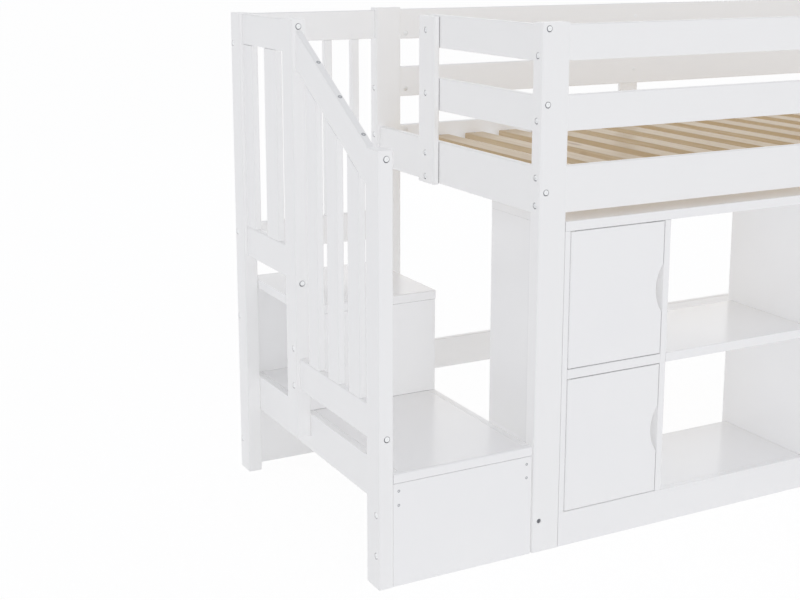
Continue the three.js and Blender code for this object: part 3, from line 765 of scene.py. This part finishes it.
zinc = plated("zinc_plated_steel", "#FBFCFD", "#EEF0F2")
dulled_zinc = plated("dulled_zinc_plated_steel", "#B8BABE", "#9EA0A4")
oiled_steel = plated("oiled_steel", "#989A9F", "#7C7E83")
nylon = moulded("moulded_nylon", "#F0F0EC", "#E6E6E1", 0.36, 0.48, 0.0008)
catch_plastic = moulded("moulded_catch_plastic", "#D8D8D4", "#CDCDC9", 0.38, 0.52, 0.0006)
fitting_finish = {
    "pivot_pin_bottom": zinc, "pivot_pin_middle": zinc, "pivot_pin_top": zinc,
    "lower_door_bottom_bush": nylon, "lower_door_top_bush": nylon,
    "upper_door_bottom_bush": nylon, "upper_door_top_bush": nylon,
    "upper_magnetic_catch": catch_plastic, "lower_magnetic_catch": catch_plastic,
}
for node, finish in fitting_finish.items():
    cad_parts[node].material_slots[0].material = finish

# A strike plate faces each catch, with 0.5 mm of air between them
plate_inset = 0.003
plate_thickness = 0.0015
plate_height = 0.010
plate_drop = 0.0022
plate_corner = 0.002
for level in ("lower", "upper"):
    catch_low, catch_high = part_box(f"{level}_magnetic_catch")
    door_low, door_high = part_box(f"{level}_door")
    back = door_high.y + plate_thickness
    top = catch_low.z + plate_height - plate_drop
    left, right = catch_low.x + plate_inset, catch_high.x - plate_inset
    plate = dress(f"{level}_strike_plate", block(
        Vector((left, door_high.y, top - plate_height)), Vector((right, back, top)), "y", plate_corner), zinc)
    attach(plate, f"{level}_door")


# Stair posts and the guards between them
# Three uprights of painted pine, 46 x 76 mm, on the outer side of the steps. A slanted handrail and three
# level boards run between them, with flat balusters glued and screwed in between.
# The stair's posts, handrail and balusters get pine paint without painted joint shade
stair_paint = {along: painted_pine("painted_pine_clean", along, False) for along in "xyz"}
handrail_rise, handrail_run = 0.288, 0.484
handrail_depth = 0.098
handrail_slope = handrail_rise / handrail_run
handrail_section = handrail_depth * math.hypot(1, handrail_slope)
handrail_bolts_y = (-0.110, -0.253, -0.400)
stair_middle_x = -1.338

# The holes in each post's faces: how far along or across the bed, and at which heights
post_holes = {
    "stair_post_front": {"front": (-1.335, (1.223, 0.443)), "left": (-0.5115, (0.219, 0.097))},
    "stair_post_middle": {"left": (0.055, (0.550, 0.430)), "front": (stair_middle_x, (0.760, 1.541))},
    "stair_post_back": {"left": (0.515, (1.463, 0.835, 0.542, 0.101))},
}
for node, faces in post_holes.items():
    low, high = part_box(node)
    places = [((across, low.y, z), (0, -1, 0)) if face == "front" else ((low.x, across, z), (-1, 0, 0))
              for face, (across, heights) in faces.items() for z in heights]
    stand_for(dress(f"{node}_painted", box_of(node, "z", post_ease), stair_paint["z"], bolted(places)), node)

for node in ("stair_front_guard_rail", "stair_rear_low_rail", "stair_rear_top_rail"):
    low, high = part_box(node)
    places = [((high.x, y, (low.z + high.z) / 2), (1, 0, 0))
              for y in (low.y + nut_from_post, high.y - nut_from_post)]
    board = dress(f"{node}_painted", box_of(node, "y", board_ease), pine_paint["y"], nut_holes(places))
    stand_for(board, node)

low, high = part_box("slanted_handrail")
foot_top = low.z + handrail_section
handrail = solid(
    [(low.x, low.y, low.z), (low.x, high.y, high.z - handrail_section), (low.x, high.y, high.z),
     (low.x, low.y, foot_top)],
    Vector((high.x - low.x, 0, 0)), Vector((0, 1, handrail_slope)).normalized(), board_ease)
stand_for(dress("slanted_handrail_painted", handrail, stair_paint["y"]), "slanted_handrail")
cap_bolts = [((stair_middle_x, y, foot_top + handrail_slope * (y - low.y)), (0, -handrail_slope, 1))
             for y in handrail_bolts_y]

for i in (1, 2, 3):
    node = f"front_baluster_{i}"
    low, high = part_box(node)
    near_top = high.z - handrail_slope * (high.y - low.y)
    baluster = solid(
        [(low.x, low.y, low.z), (low.x, high.y, low.z), (low.x, high.y, high.z), (low.x, low.y, near_top)],
        Vector((high.x - low.x, 0, 0)), direction["z"], board_ease)
    stand_for(dress(f"{node}_painted", baluster, stair_paint["z"]), node)
for node in ("rear_baluster_1", "rear_baluster_2"):
    stand_for(dress(f"{node}_painted", box_of(node, "z", board_ease), stair_paint["z"]), node)


# Steps
# Two open boxes of painted fibreboard, one on the other's back half, with a thick tread over each riser.
# Pine boards along both sides of the lower box carry its tread between them.
nosing = 0.005
for node in ("stair_side_board_left", "stair_side_board_right"):
    stand_for(dress(f"{node}_painted", box_of(node, "y", panel_edge), stair_paint["y"]), node)

low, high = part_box("lower_tread")
side_low, side_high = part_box("stair_side_board_left")
ear = side_low.y - fit
notch = side_high.x - side_low.x + fit
outline = [
    (low.x, low.y, low.z), (high.x, low.y, low.z), (high.x, ear, low.z), (high.x - notch, ear, low.z),
    (high.x - notch, high.y, low.z), (low.x + notch, high.y, low.z), (low.x + notch, ear, low.z),
    (low.x, ear, low.z)]
tread = prism(outline, Vector((0, 0, high.z - low.z)))
front_edges = [
    edge for edge in tread.edges
    if max(vert.co.y for vert in edge.verts) < low.y + fit
    and abs(edge.verts[0].co.z - edge.verts[1].co.z) < fit]
stand_for(dress("lower_tread_painted", eased(tread, front_edges, nosing), board_paint), "lower_tread")

box_boards = {
    "upper_tread": ("x", nosing), "lower_riser": ("x", panel_edge), "upper_riser": ("x", panel_edge),
    "step_box_right_panel": ("z", panel_edge), "stair_back_panel": ("x", panel_edge),
}
for node, (along, ease) in box_boards.items():
    paint = board_paint_no_joint_shade if node == "lower_riser" else board_paint
    stand_for(dress(f"{node}_painted", box_of(node, along, ease), paint), node)

riser_screws_x = (-1.298, -0.8745)
riser_screw_heights = (0.2855, 0.2435)
riser_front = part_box("lower_riser")[0].y
small_screws += [((x, riser_front, z), (0, -1, 0)) for x in riser_screws_x for z in riser_screw_heights]


# Back guard of the steps
# Two pine boards between the stair's back post and the bed's, with four spindles, 28 x 22 mm, that are
# glued between them. All of it is painted white.
spindle_width = 0.028
spindle_ease = 0.003
spindle_pitch = 0.1005
spindle_count = 4
first_spindle = -1.228
low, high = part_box("stair_back_guard")
_, low_rail_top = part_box("stair_rear_low_rail")
top_rail_foot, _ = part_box("stair_rear_top_rail")
for level, bottom, top in (("low", low.z, low_rail_top.z), ("top", top_rail_foot.z, high.z)):
    rail = dress(f"stair_back_guard_{level}_rail", block(
        Vector((low.x, low.y, bottom)), Vector((high.x, high.y, top)), "x", board_ease), pine_paint["x"])
    if level == "low":
        stand_for(rail, "stair_back_guard")
    else:
        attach(rail, "bed")
spindle_y = (low.y + high.y) / 2
spindles = grow("stair_back_guard_spindles", bar_row, {
    "Start": (first_spindle, spindle_y, low_rail_top.z - fit),
    "End": (first_spindle, spindle_y, top_rail_foot.z + fit),
    "Section Width": spindle_width, "Section Height": high.y - low.y, "Corner Radius": spindle_ease,
    "Count": spindle_count, "Pitch": (spindle_pitch, 0, 0), "Tone Seed": 3, "Finish": stair_paint["z"]})
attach(spindles, "bed")


# Bolts, nuts and screws
# Zinc plated furniture bolts with a hexagon socket, over dark oiled steel washers in the posts' counterbores
# that paint the shade around each head; barrel nuts with a slot, flush in the boards' cross holes; and small
# screws with a cross recess.
least_turn = 1e-6


def hexagon(across):
    """The edge of a hexagon socket, as a radius for each angle."""
    return lambda angle: across / 2 / math.cos((angle + math.pi / 6) % (math.pi / 3) - math.pi / 6)


def slot(length, width):
    """The edge of a screwdriver slot, as a radius for each angle."""
    return lambda angle: min(width / 2 / max(abs(math.sin(angle)), least_turn),
                             length / 2 / max(abs(math.cos(angle)), least_turn))


def cross(length, width):
    """The edge of a cross recess: two slots at a right angle."""
    one = slot(length, width)
    return lambda angle: max(one(angle), one(angle + math.pi / 2))


# Each head's profile from its neck to the bottom of its recess, with the wood's face at height 0
bolt_head = [(0.0075, -0.0036), (0.0075, -0.0013), (0.0073, -0.0008), (0.0068, -0.0005), (0.0060, -0.0004),
             (hexagon(0.0038), -0.0004), (hexagon(0.0034), -0.0007), (hexagon(0.0034), -0.0020)]
# Dark washers under the bolt heads: their dark grey paints the shade in the gap around each head
shade_washer = [(0.0094, -0.0043), (0.0094, -0.0038), (0.0090, -0.0034), (0.0070, -0.0034)]
foot_head = [(0.0064, -0.0061), (0.0064, -0.0020), (0.0056, -0.0014), (hexagon(0.0044), -0.0014),
             (hexagon(0.0040), -0.0018), (hexagon(0.0040), -0.0038)]
cap_head = [(0.0062, -0.0010), (0.0068, 0.0002), (0.0066, 0.0006), (0.0058, 0.0009),
            (hexagon(0.0044), 0.0009), (hexagon(0.0040), 0.0006), (hexagon(0.0040), -0.0008)]
nut_face = [(0.0072, -0.0042), (0.0072, -0.0009), (0.0068, -0.0005), (slot(0.0098, 0.0020), -0.0005),
            (slot(0.0098, 0.0016), -0.0022)]
screw_head = [(0.0036, -0.0020), (0.0043, 0.0001), (0.0041, 0.0003), (cross(0.0054, 0.0014), 0.0003),
              (cross(0.0046, 0.0010), -0.0014)]

head_row = new_tree("heads_on_their_places", {"Head": "Object", "Turn Seed": "Int", "Finish": "Material"})
given = add(head_row, "NodeGroupInput").outputs
head = add(head_row, "GeometryNodeObjectInfo", links={"Object": given["Head"]})
out_of_face = add(head_row, "GeometryNodeInputNamedAttribute", {"Name": "out"}, data_type="FLOAT_VECTOR")
upright = add(head_row, "FunctionNodeAlignRotationToVector", links={
    "Vector": out_of_face.outputs[0]}, axis="Z")
chance = add(head_row, "FunctionNodeRandomValue", {2: 0.0, 3: 2 * math.pi}, {"Seed": given["Turn Seed"]},
             data_type="FLOAT")
spin = add(head_row, "FunctionNodeAxisAngleToRotation", {"Axis": (0, 0, 1)}, {"Angle": chance.outputs[1]})
turned_head = add(head_row, "FunctionNodeRotateRotation", links={
    "Rotation": upright.outputs[0], "Rotate By": spin.outputs[0]}, rotation_space="LOCAL")
on_places = add(head_row, "GeometryNodeInstanceOnPoints", links={
    "Points": given["Geometry"], "Instance": head.outputs["Geometry"], "Rotation": turned_head.outputs[0]})
real_heads = add(head_row, "GeometryNodeRealizeInstances", links={0: on_places.outputs[0]})
finished_heads = add(head_row, "GeometryNodeSetMaterial", links={
    "Geometry": real_heads.outputs[0], "Material": given["Finish"]})
add(head_row, "NodeGroupOutput", links={0: finished_heads.outputs[0]})


def set_heads(name, profile, finish, places, body, seed):
    """Sets one kind of head on all its places on a body. Its seed turns each head by chance."""
    pattern = bpy.data.meshes.new(f"{name}_pattern")
    shape = rings(profile)
    shape.to_mesh(pattern)
    shape.free()
    one_head = bpy.data.objects.new(f"{name}_pattern", pattern)
    bpy.context.scene.collection.objects.link(one_head)
    spots = bpy.data.meshes.new(name)
    spots.from_pydata([tuple(point) for point, _ in places], [], [])
    ways = spots.attributes.new("out", "FLOAT_VECTOR", "POINT")
    ways.data.foreach_set("vector", [c for _, out in places for c in Vector(out).normalized()])
    heads = grow(name, head_row, {"Head": one_head, "Turn Seed": seed, "Finish": finish}, spots)
    bpy.data.objects.remove(one_head)
    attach(heads, body)


# The bolts hang loose in their counterbores, a little off the middle
sideways, upwards = 0.0009, 0.0005
up = Vector((0, 0, 1))
loose_places = [(Vector(point) + up.cross(Vector(out)) * sideways + up * upwards, out)
                for point, out in bolt_places]
set_heads("furniture_bolts", bolt_head, zinc, loose_places, "bed", 11)
# The washers' dark steel stands in for the shade at the bottom of each counterbore
set_heads("bolt_washers", shade_washer, oiled_steel, bolt_places, "bed", 15)
set_heads("foot_bolts", foot_head, oiled_steel, foot_screws, "bed", 16)
set_heads("batten_bolts", cap_head, zinc, batten_screws, "bed", 12)
set_heads("handrail_bolts", cap_head, dulled_zinc, cap_bolts, "bed", 17)
set_heads("barrel_nuts", nut_face, zinc, nut_places, "bed", 13)
set_heads("small_screws", screw_head, dulled_zinc, small_screws, "bed", 14)

bpy.context.view_layer.update()
